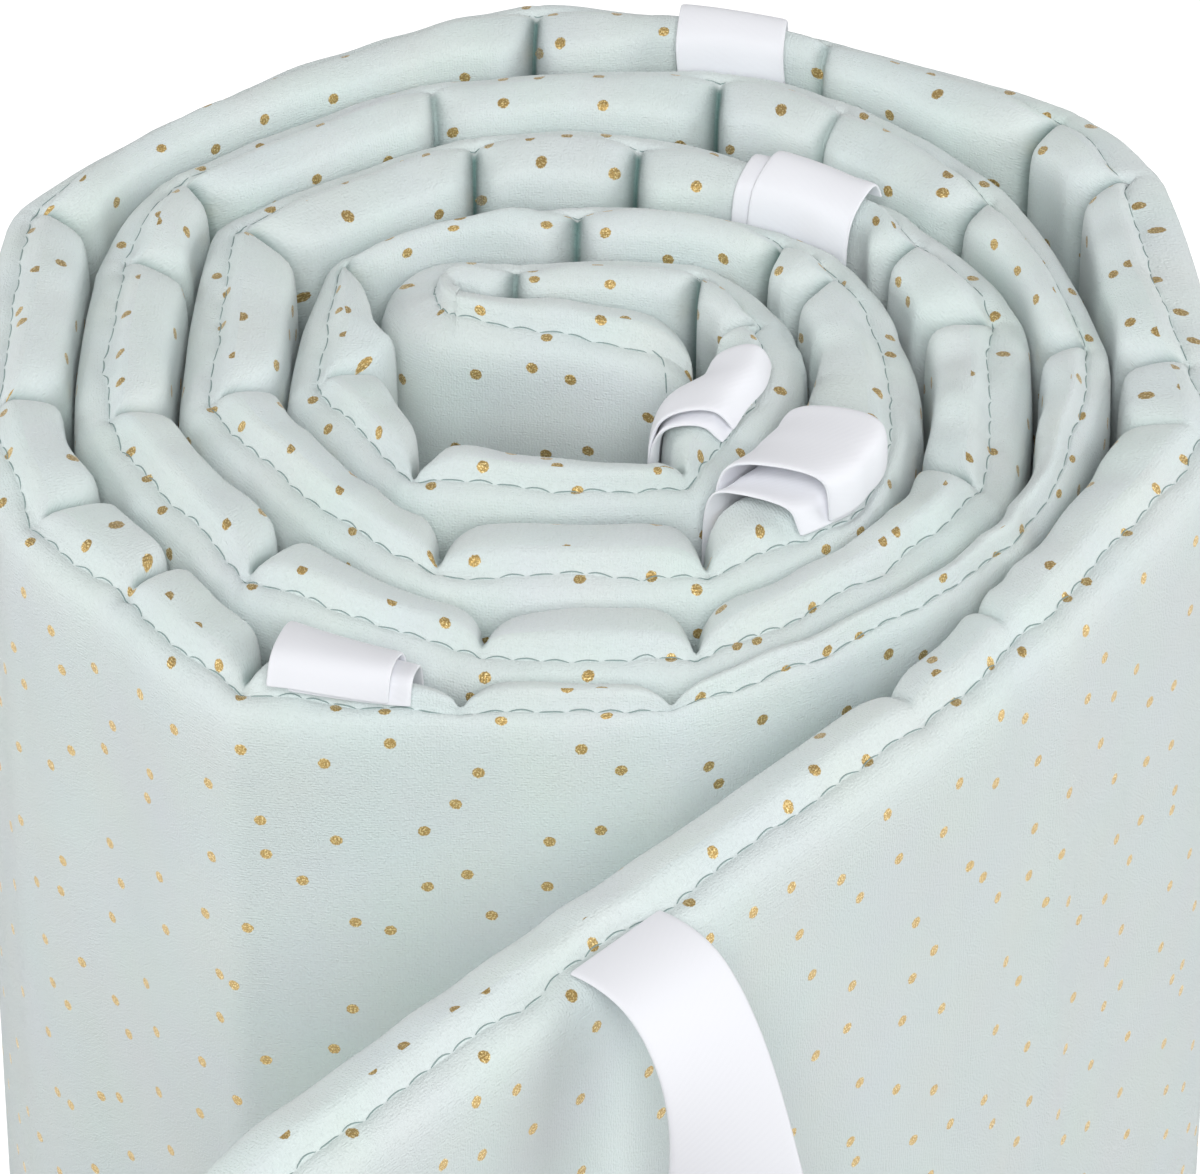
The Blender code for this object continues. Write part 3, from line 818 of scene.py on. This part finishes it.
def stitch_paths(length, columns):
    """Lines of stitches as station and outline place: over the top, down each end and along the foot.

    Over the top each stitch pulls the line aside in a bulge, a parabola that is 0 between two stitches.
    At each end the line turns the corner as a quarter ellipse, then goes straight down.
    """
    first = len(OUTER_SHARES)
    top = first + TOP_SAMPLES.index(SEAM_SAMPLE)
    start = STITCH_INSET + STITCH_CORNER
    along = np.arange(start, length - start, STITCH_STEP)
    bulge = 1.0 - (2.0 * ((along - start) / STITCH_PITCH % 1.0) - 1.0) ** 2
    stray = SEAM_SAMPLE - 0.05 + seam_wander(along) + (0.16 + 0.1 * drift(along / 5.0, 2.5, 24)) * bulge
    paths = [(along, first + np.interp(stray, TOP_SAMPLES, np.arange(len(TOP_SAMPLES))))]
    turn = 0.5 * np.pi * np.arange(1, 30) / 30.0
    for edge, way in ((STITCH_INSET, 1.0), (length - STITCH_INSET, -1.0)):
        down = np.concatenate([edge + way * STITCH_CORNER * (1.0 - np.sin(turn)), np.full(170, edge)])
        place = np.concatenate([top - (top - first + 1.0) * (1.0 - np.cos(turn)),
                                np.linspace(first - 1.0, -1.5, 171)[1:]])
        paths.append((down, place))
    paths.append((along, columns - 2.2 + 0.2 * drift(along / 8.0, 0.5, 23)))
    return paths


def build_stitches(strip, stations, grid, finish):
    """Thread of every stitch, all in one mesh: a thin tube that rises out of the cloth and sinks again.

    Stitches are counted along the strip, as their bulges are, and down an end by the cloth's own length.
    """
    normals = grid_normals(grid)
    rings, sides = 7, 5
    share = np.linspace(0.0, 1.0, rings)
    angle = np.arange(sides) * 2.0 * np.pi / sides
    radius = 0.5 * STITCH_WIDTH * MM * np.where((share > 0.0) & (share < 1.0), 1.0, 0.55)
    radius = radius[None, :, None, None]
    lift = (0.62 * np.sin(np.pi * share) ** 0.6 - 0.42) * STITCH_WIDTH
    points = []
    for along, place in stitch_paths(strip.length, grid.shape[1]):
        i = np.interp(along, stations, np.arange(len(stations)))
        line = read_grid(grid, i, place)
        out = unit(read_grid(normals, i, place))
        run = np.concatenate([[0.0], np.cumsum(np.linalg.norm(np.diff(line, axis=0), axis=1))]) / MM
        run = along - along[0] if np.ptp(along) > 0.5 * strip.length else run
        count = int(run[-1] / STITCH_PITCH)
        start = (np.arange(count) + 0.5) * STITCH_PITCH - 0.5 * STITCH_LENGTH
        where = start[:, None] + share[None] * STITCH_LENGTH
        centre = np.stack([np.interp(where, run, line[:, k]) for k in range(3)], axis=-1)
        up = unit(np.stack([np.interp(where, run, out[:, k]) for k in range(3)], axis=-1))
        ahead = unit(np.gradient(centre, axis=1))
        side = unit(np.cross(ahead, up))
        centre = centre + up * (lift[None, :, None] * MM)
        ring = side[:, :, None] * np.cos(angle)[:, None] + up[:, :, None] * np.sin(angle)[:, None]
        points.append((centre[:, :, None] + radius * ring).reshape(-1, 3))
    points = np.vstack(points)
    count = len(points) // (rings * sides)
    faces = grid_faces(rings, sides, True)
    faces = (faces[None] + (np.arange(count) * rings * sides)[:, None, None]).reshape(-1, 4)
    uv = np.zeros((faces.size, 2))
    mesh = mesh_of("crib_bumper_stitches", points, faces[:, ::-1], uv, "cloth")
    return add_object("crib_bumper_stitches", mesh, finish)


def over_edge(thickness, lean, fall, clear):
    """The strip's edge from its seam to its inner face, moved out by a clearance."""
    edge = np.array(TOP_EDGE[SEAM_POINT - 1 :])
    edge[:, 1] *= np.where(edge[:, 0] > 0.6, fall, 1.0)
    edge[:, 0] = puffed(leaned(edge[:, 0], lean), thickness)
    way = unit(np.diff(edge, axis=0))
    square = np.stack([-way[:, 1], way[:, 0]], axis=1)
    sides = square[:-1] + square[1:]
    mitre = sides / (1.0 + (square[:-1] * square[1:]).sum(axis=1, keepdims=True))
    middle = edge[1:-1] + clear * mitre
    return np.vstack([middle, (thickness + clear, -14.0)])


def strand_line(thickness, lean, fall, hang, layer, lift, slant):
    """Middle line of a strand that arches over the edge and hangs inside: distances in and up.

    The slant is how much longer its way across the edge is than the strip's rib.
    """
    clear = 0.5 * TAPE_THICKNESS + TAPE_CLEARANCE + layer * (TAPE_THICKNESS + TAPE_CLEARANCE)
    line = over_edge(thickness, lean, fall, clear)
    line[:, 0] *= slant
    share = np.linspace(0.0, 1.0, len(line))
    line[:, 0] += (hang - line[-1, 0]) * smooth((share - 0.3) / 0.7)
    line[:, 0] -= 0.3 * lift * np.sin(np.pi * np.minimum(1.7 * share, 1.0))
    line[:, 1] += lift * np.sin(np.pi * share**0.8) + 0.4
    return np.vstack([line, (hang, -24.0), (hang, -TAIL_DEPTH + 6.0 * layer)])


def tie_line(strip, tie):
    """How one of the ties lies, as a function of the share of its width and where that side starts.

    It goes over the edge, then hangs as far in as the turn inside it or its own row lets it, clear of the
    strip and, in two layers, of each other.
    """
    layer, layers, lift, _, first, last, _ = tie[4:]
    step = TAPE_THICKNESS + TAPE_CLEARANCE
    clear = TAPE_CLEARANCE + 0.5 * TAPE_THICKNESS

    def line_of(share, point, way, station, thickness):
        room = room_inside(point[None], np.array([station]), way[None], strip.line, strip.along)[0]
        hang = min(room, first + share * (last - first)) - clear - (layers - 1 - layer) * step
        hang = max(hang, strip.reach(station, way) + clear + layer * step)
        return strand_line(thickness, *strip.lean(station), hang, layer, lift, strip.slant(station, way))

    return line_of


def sprung_line(share, *given):
    """How the sprung tie lies: it turns as it drops, its first side swinging out and its last side in."""
    line = np.array(SPRUNG_LINE) * (-1.0, 1.0)
    line[:, 0] -= (0.75 - share) * SPRUNG_TWIST * smooth(-line[:, 1] / 90.0)
    return line


def build_strand(name, strip, place, swing, skew, line_of, height, finish):
    """A strand of tape: splines side by side across its width, made solid with soft edges.

    The swing turns it from straight across. The skew is how far it slips along the strip as it drops.
    """
    rib = strip.at(place)[1]
    turned = np.radians(swing)
    way = np.cos(turned) * rib + np.sin(turned) * np.array([-rib[1], rib[0]])
    columns = []
    longest = 0.0
    for share in np.linspace(0.0, 1.0, 11):
        station = place + (share - 0.5) * TAPE_WIDTH
        point, _, thickness = strip.at(station)
        line = line_of(share, point, way, station, thickness)
        at = np.linspace(0.0, len(line) - 1.0, 60)
        line = spline(line, at)
        step = np.linalg.norm(np.diff(line, axis=0), axis=1)
        longest = max(longest, step.sum())
        aside = skew * smooth(-line[:, 1:] / 25.0) * np.array([[-way[1], way[0]]])
        flat = point[None] + way[None] * line[:, :1] - aside
        columns.append(placed(flat, height / MM + line[:, 1], height / MM))
    grid = np.array(columns)
    rows, count = grid.shape[:2]
    run = np.concatenate([[0.0], np.cumsum(np.linalg.norm(np.diff(grid[rows // 2], axis=0), axis=1))])
    faces = grid_faces(rows, count, False)
    wide = np.linspace(0.0, TAPE_WIDTH * MM, rows)
    uv = np.stack([wide[faces // count], run[faces % count]], axis=-1).reshape(-1, 2)
    mesh = mesh_of(name, grid.reshape(-1, 3), faces, uv, "cloth")
    made = add_object(name, mesh, finish)
    solid = made.modifiers.new("thickness", "SOLIDIFY")
    solid.thickness = MM * TAPE_THICKNESS
    solid.offset = 0.0
    solid.use_even_offset = True
    soft = made.modifiers.new("soft edges", "SUBSURF")
    soft.levels = soft.render_levels = 1
    return made, longest * MM


def linear(code):
    """A colour given as hex in sRGB, as linear red, green, blue and alpha."""
    value = np.array([int(code[k : k + 2], 16) for k in (1, 3, 5)]) / 255.0
    value = np.where(value <= 0.04045, value / 12.92, ((value + 0.055) / 1.055) ** 2.4)
    return (*value.tolist(), 1.0)


def add_node(tree, kind, settings=None, inputs=None, links=None):
    """A node with its settings, its inputs' values and its links from (node, output) pairs."""
    node = tree.nodes.new(kind)
    for name, value in (settings or {}).items():
        setattr(node, name, value)
    for key, value in (inputs or {}).items():
        node.inputs[key].default_value = value
    for key, (source, output) in (links or {}).items():
        tree.links.new(source.outputs[output], node.inputs[key])
    return node


def new_material(name):
    """A material with its node tree and its shader."""
    made = bpy.data.materials.new(name)
    made.use_nodes = True
    made.node_tree.nodes.clear()
    tree = made.node_tree
    shader = add_node(tree, "ShaderNodeBsdfPrincipled")
    output = add_node(tree, "ShaderNodeOutputMaterial", links={"Surface": (shader, "BSDF")})
    output.location = (400, 0)
    return made, tree, shader


def cotton_print(colour, dot_colour, dot_size, dot_spacing):
    """Cotton percale, plain woven, with gold foil dots of about 2 mm printed at random.

    A soft matt face, its fuzz pale at a glance, its weave only just there. The foil is a rough metal, its
    glitter painted into its colour as lighter specks.
    """
    made, tree, shader = new_material("mint_cotton_print")
    cloth = add_node(tree, "ShaderNodeUVMap", {"uv_map": "cloth"})

    def noise(scale, detail, **inputs):
        """Noise over the cloth, in metres: a scale of 1000 makes specks of about 1 mm."""
        return add_node(tree, "ShaderNodeTexNoise", {"noise_dimensions": "2D"},
                        {"Scale": scale, "Detail": detail, **inputs}, {"Vector": (cloth, "UV")})

    # One dot in each cell of a loose grid, its edge ragged by about a sixth of its radius.
    cells = add_node(tree, "ShaderNodeMapping", inputs={"Scale": (1.0 / dot_spacing,) * 3},
                     links={"Vector": (cloth, "UV")})
    dots = add_node(tree, "ShaderNodeTexVoronoi", {"voronoi_dimensions": "2D", "feature": "F1"},
                    {"Scale": 1.0, "Randomness": 0.78}, {"Vector": (cells, "Vector")})
    edge = 0.5 * dot_size / dot_spacing
    wobble = add_node(tree, "ShaderNodeMath", {"operation": "MULTIPLY_ADD"},
                      {1: 0.35 * edge, 2: -0.17 * edge}, {0: (noise(2600.0, 2.0), "Fac")})
    reach = add_node(tree, "ShaderNodeMath", {"operation": "ADD"},
                     links={0: (dots, "Distance"), 1: (wobble, "Value")})
    inside = add_node(tree, "ShaderNodeMapRange", {"interpolation_type": "SMOOTHSTEP"},
                      {"From Min": edge * 1.08, "From Max": edge * 0.92, "To Min": 0.0, "To Max": 1.0},
                      {"Value": (reach, "Value")})

    # Slubby threads two ways, half a millimetre apart: real ones are finer than the render can show.
    threads = [
        add_node(tree, "ShaderNodeTexWave", {"bands_direction": way},
                 {"Scale": 640.0, "Distortion": 5.0, "Detail": 2.0, "Detail Scale": 1.4},
                 {"Vector": (cloth, "UV")})
        for way in "XY"
    ]
    woven = add_node(tree, "ShaderNodeMath", {"operation": "ADD"},
                     links={0: (threads[0], "Fac"), 1: (threads[1], "Fac")})
    slubs = noise(2400.0, 1.0, Roughness=0.5)
    weave = add_node(tree, "ShaderNodeMath", {"operation": "MULTIPLY_ADD"}, {1: 0.16},
                     {0: (woven, "Value"), 2: (slubs, "Fac")})

    # The cotton's tone follows its threads, drifts a little every few centimetres, and is darkened in folds
    # by painted shade.
    dark, light = ((*[min(1.0, c * tone) for c in colour[:3]], 1.0) for tone in (0.965, 1.02))
    tone = add_node(tree, "ShaderNodeMix", {"data_type": "RGBA"}, {6: dark, 7: light},
                    {"Factor": (weave, "Value")})
    shade = add_node(tree, "ShaderNodeMix", {"data_type": "RGBA", "blend_type": "MULTIPLY"},
                     {"Factor": 0.06}, {6: (tone, 2), 7: (noise(45.0, 3.0), "Color")})
    # Painted shade: the colour is multiplied towards FOLD_SHADE where the fold mask is.
    painted_fold_shade = add_node(tree, "ShaderNodeAttribute", {"attribute_name": "painted_fold_shade"})
    painted_shade_mix = add_node(tree, "ShaderNodeMix", {"data_type": "RGBA", "blend_type": "MULTIPLY"},
                      {7: linear(FOLD_SHADE)}, {"Factor": (painted_fold_shade, "Fac"), 6: (shade, 2)})

    # Painted glints: lighter specks mixed into the foil's colour in place of its glitter.
    painted_glints = add_node(tree, "ShaderNodeMapRange", inputs={"From Min": 0.52, "From Max": 0.68},
                      links={"Value": (noise(3200.0, 1.0), "Fac")})
    foil_with_painted_glints = add_node(tree, "ShaderNodeMix", {"data_type": "RGBA"},
                    {6: dot_colour, 7: linear(FOIL_GLINT)}, {"Factor": (painted_glints, "Result")})
    base = add_node(tree, "ShaderNodeMix", {"data_type": "RGBA"},
                    links={"Factor": (inside, "Result"), 6: (painted_shade_mix, 2), 7: (foil_with_painted_glints, 2)})
    metal = add_node(tree, "ShaderNodeMath", {"operation": "MULTIPLY"}, {1: 0.55}, {0: (inside, "Result")})
    rough = add_node(tree, "ShaderNodeMapRange", inputs={"To Min": 0.86, "To Max": 0.42},
                     links={"Value": (inside, "Result")})
    bump = add_node(tree, "ShaderNodeBump", inputs={"Strength": 0.8, "Distance": 0.2 * MM},
                    links={"Height": (weave, "Value")})
    for key, (source, output) in {"Base Color": (base, 2), "Metallic": (metal, "Value"),
                                  "Roughness": (rough, "Result"), "Normal": (bump, "Normal")}.items():
        tree.links.new(source.outputs[output], shader.inputs[key])
    shader.inputs["Sheen Weight"].default_value = 0.35
    shader.inputs["Sheen Roughness"].default_value = 0.45
    shader.inputs["Specular IOR Level"].default_value = 0.2
    return made


def tape_cotton(colour):
    """Bleached cotton twill tape: matt white, with fine slanting ribs about 1 mm apart."""
    made, tree, shader = new_material("white_cotton_tape")
    cloth = add_node(tree, "ShaderNodeUVMap", {"uv_map": "cloth"})
    slanted = add_node(tree, "ShaderNodeMapping", inputs={"Rotation": (0.0, 0.0, 1.1)},
                       links={"Vector": (cloth, "UV")})
    twill = add_node(tree, "ShaderNodeTexWave", {"wave_type": "BANDS"},
                     {"Scale": 300.0, "Distortion": 0.6, "Detail": 1.0}, {"Vector": (slanted, "Vector")})
    bump = add_node(tree, "ShaderNodeBump", inputs={"Strength": 0.12, "Distance": 0.1 * MM},
                    links={"Height": (twill, "Fac")})
    tree.links.new(bump.outputs["Normal"], shader.inputs["Normal"])
    shader.inputs["Base Color"].default_value = colour
    shader.inputs["Roughness"].default_value = 0.8
    shader.inputs["Sheen Weight"].default_value = 0.2
    shader.inputs["Specular IOR Level"].default_value = 0.2
    return made


def thread(colour):
    """Polyester sewing thread: a slight shine on a smooth round strand, its dark tone partly painted shade.
    """
    made, _, shader = new_material("mint_thread_with_painted_shade")
    shader.inputs["Base Color"].default_value = colour
    shader.inputs["Roughness"].default_value = 0.6
    return made


class CribBumperSizes(PropertyGroup):
    height: FloatProperty(
        name="Height", description="Height of the strip", default=HEIGHT, min=0.2, max=0.4, unit="LENGTH"
    )
    dot_size: FloatProperty(
        name="Dot size", description="Width of a printed dot", default=0.002, min=0.001, max=0.01,
        unit="LENGTH", precision=4
    )
    dot_spacing: FloatProperty(
        name="Dot spacing", description="Mean distance between dots", default=0.0118, min=0.004, max=0.05,
        unit="LENGTH", precision=4
    )


class CribBumperColours(PropertyGroup):
    cotton: FloatVectorProperty(
        name="Cotton", description="Colour of the cotton", size=4, subtype="COLOR", min=0.0, max=1.0,
        default=linear("#DFE9E8")
    )
    dots: FloatVectorProperty(
        name="Dots", description="Colour of the printed dots", size=4, subtype="COLOR", min=0.0, max=1.0,
        default=linear("#BC9C5F")
    )
    tape: FloatVectorProperty(
        name="Tape", description="Colour of the ties", size=4, subtype="COLOR", min=0.0, max=1.0,
        default=linear("#F0F1F6")
    )
    # The thread's colour: partly its own mint, a little darker than the cotton, partly painted shade of the
    # seam groove it lies in.
    thread: FloatVectorProperty(
        name="Thread", description="Colour of the stitches", size=4, subtype="COLOR", min=0.0, max=1.0,
        default=linear("#8DA19F")
    )


class CRIBBUMPER_OT_strip(Operator):
    """Makes the padded strip, wound up, with its stitches"""

    bl_idname = "crib_bumper.strip"
    bl_label = "Padded strip"

    def execute(self, context):
        sizes = context.scene.crib_bumper_sizes
        colours = context.scene.crib_bumper_colours
        finish = cotton_print(tuple(colours.cotton), tuple(colours.dots), sizes.dot_size, sizes.dot_spacing)
        strip = Strip()
        made, stations, grid = build_strip(strip, sizes.height / MM, finish)
        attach(made, "root")
        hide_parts("bumper")
        stitches = build_stitches(strip, stations, grid, thread(tuple(colours.thread)))
        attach(stitches, "root")
        return {"FINISHED"}


class CRIBBUMPER_OT_ties(Operator):
    """Makes the tape ties that are caught in the strip's top seam"""

    bl_idname = "crib_bumper.ties"
    bl_label = "Tape ties"

    def execute(self, context):
        sizes = context.scene.crib_bumper_sizes
        colours = context.scene.crib_bumper_colours
        finish = tape_cotton(tuple(colours.tape))
        strip = Strip()
        strands = [(tie[:4], tie[7], tie[-1], tie_line(strip, tie), "folded") for tie in TIES]
        strands.append((SPRUNG_TIE, 0.0, 0.0, sprung_line, "hung"))
        for (name, turn, bearing, shift), swing, skew, line_of, held in strands:
            place = strip.place_of(turn, bearing) + shift
            made, length = build_strand(
                "tape_" + name, strip, place, swing, skew, line_of, sizes.height, finish
            )
            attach(made, "root")
            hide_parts(name)
        return {"FINISHED"}


def soft_light(name, place, aim, size, power):
    """A square area light at a place, turned to an aim."""
    data = bpy.data.lights.new(name, "AREA")
    data.size = size
    data.energy = power
    made = bpy.data.objects.new(name, data)
    made.location = place
    way = np.array(aim) - np.array(place)
    flat = np.hypot(way[0], way[1])
    made.rotation_euler = (np.pi / 2.0 + np.arctan2(way[2], flat), 0.0, np.arctan2(-way[0], way[1]))
    bpy.context.scene.collection.objects.link(made)


class CRIBBUMPER_OT_stage(Operator):
    """Makes the floor, the lights and the camera"""

    bl_idname = "crib_bumper.stage"
    bl_label = "Stage"

    def execute(self, context):
        scene = context.scene
        floor_mesh = bpy.data.meshes.new("floor")
        w = FLOOR_HALF_WIDTH
        floor_mesh.from_pydata(
            [(-w, -w, 0.0), (w, -w, 0.0), (w, w, 0.0), (-w, w, 0.0)], [], [(0, 1, 2, 3)]
        )
        finish, _, shader = new_material("white_floor")
        shader.inputs["Base Color"].default_value = linear("#FAFAFA")
        shader.inputs["Roughness"].default_value = 0.9
        shader.inputs["Specular IOR Level"].default_value = 0.1
        shader.inputs["Emission Color"].default_value = (1.0, 1.0, 1.0, 1.0)
        shader.inputs["Emission Strength"].default_value = FLOOR_GLOW
        floor = add_object("floor", floor_mesh, finish)
        floor.visible_diffuse = False
        world = bpy.data.worlds.new("white room")
        scene.world = world
        world.use_nodes = True
        back = world.node_tree.nodes["Background"]
        back.inputs["Color"].default_value = (1.0, 1.0, 1.0, 1.0)
        back.inputs["Strength"].default_value = ROOM_LIGHT
        for row in SOFTBOXES:
            soft_light(*row)
        camera = bpy.data.cameras.new("camera")
        camera.sensor_width = CAMERA_FILM
        camera.lens = CAMERA_LENS
        camera.clip_start, camera.clip_end = 0.05, 20.0
        holder = bpy.data.objects.new("camera", camera)
        holder.location = CAMERA_PLACE
        holder.rotation_euler = (np.radians(CAMERA_TILT), 0.0, 0.0)
        scene.collection.objects.link(holder)
        scene.camera = holder
        scene.view_settings.view_transform = "Standard"
        return {"FINISHED"}


class CRIBBUMPER_PT_panel(Panel):
    """Sizes, colours and pieces of the crib bumper"""

    bl_label = "Crib bumper"
    bl_idname = "CRIBBUMPER_PT_panel"
    bl_space_type = "VIEW_3D"
    bl_region_type = "UI"
    bl_category = "Crib bumper"

    def draw(self, context):
        layout = self.layout
        for group in (context.scene.crib_bumper_sizes, context.scene.crib_bumper_colours):
            for name in group.__annotations__:
                layout.prop(group, name)
        for operator in OPERATORS:
            layout.operator(operator.bl_idname)


OPERATORS = (CRIBBUMPER_OT_strip, CRIBBUMPER_OT_ties, CRIBBUMPER_OT_stage)
CLASSES = (CribBumperSizes, CribBumperColours, *OPERATORS, CRIBBUMPER_PT_panel)


def register():
    for one in CLASSES:
        bpy.utils.register_class(one)
    bpy.types.Scene.crib_bumper_sizes = PointerProperty(type=CribBumperSizes)
    bpy.types.Scene.crib_bumper_colours = PointerProperty(type=CribBumperColours)


def unregister():
    del bpy.types.Scene.crib_bumper_colours
    del bpy.types.Scene.crib_bumper_sizes
    for one in reversed(CLASSES):
        bpy.utils.unregister_class(one)


def main():
    register()
    bpy.ops.crib_bumper.strip()
    bpy.ops.crib_bumper.ties()
    bpy.ops.crib_bumper.stage()


if __name__ == "__main__":
    main()
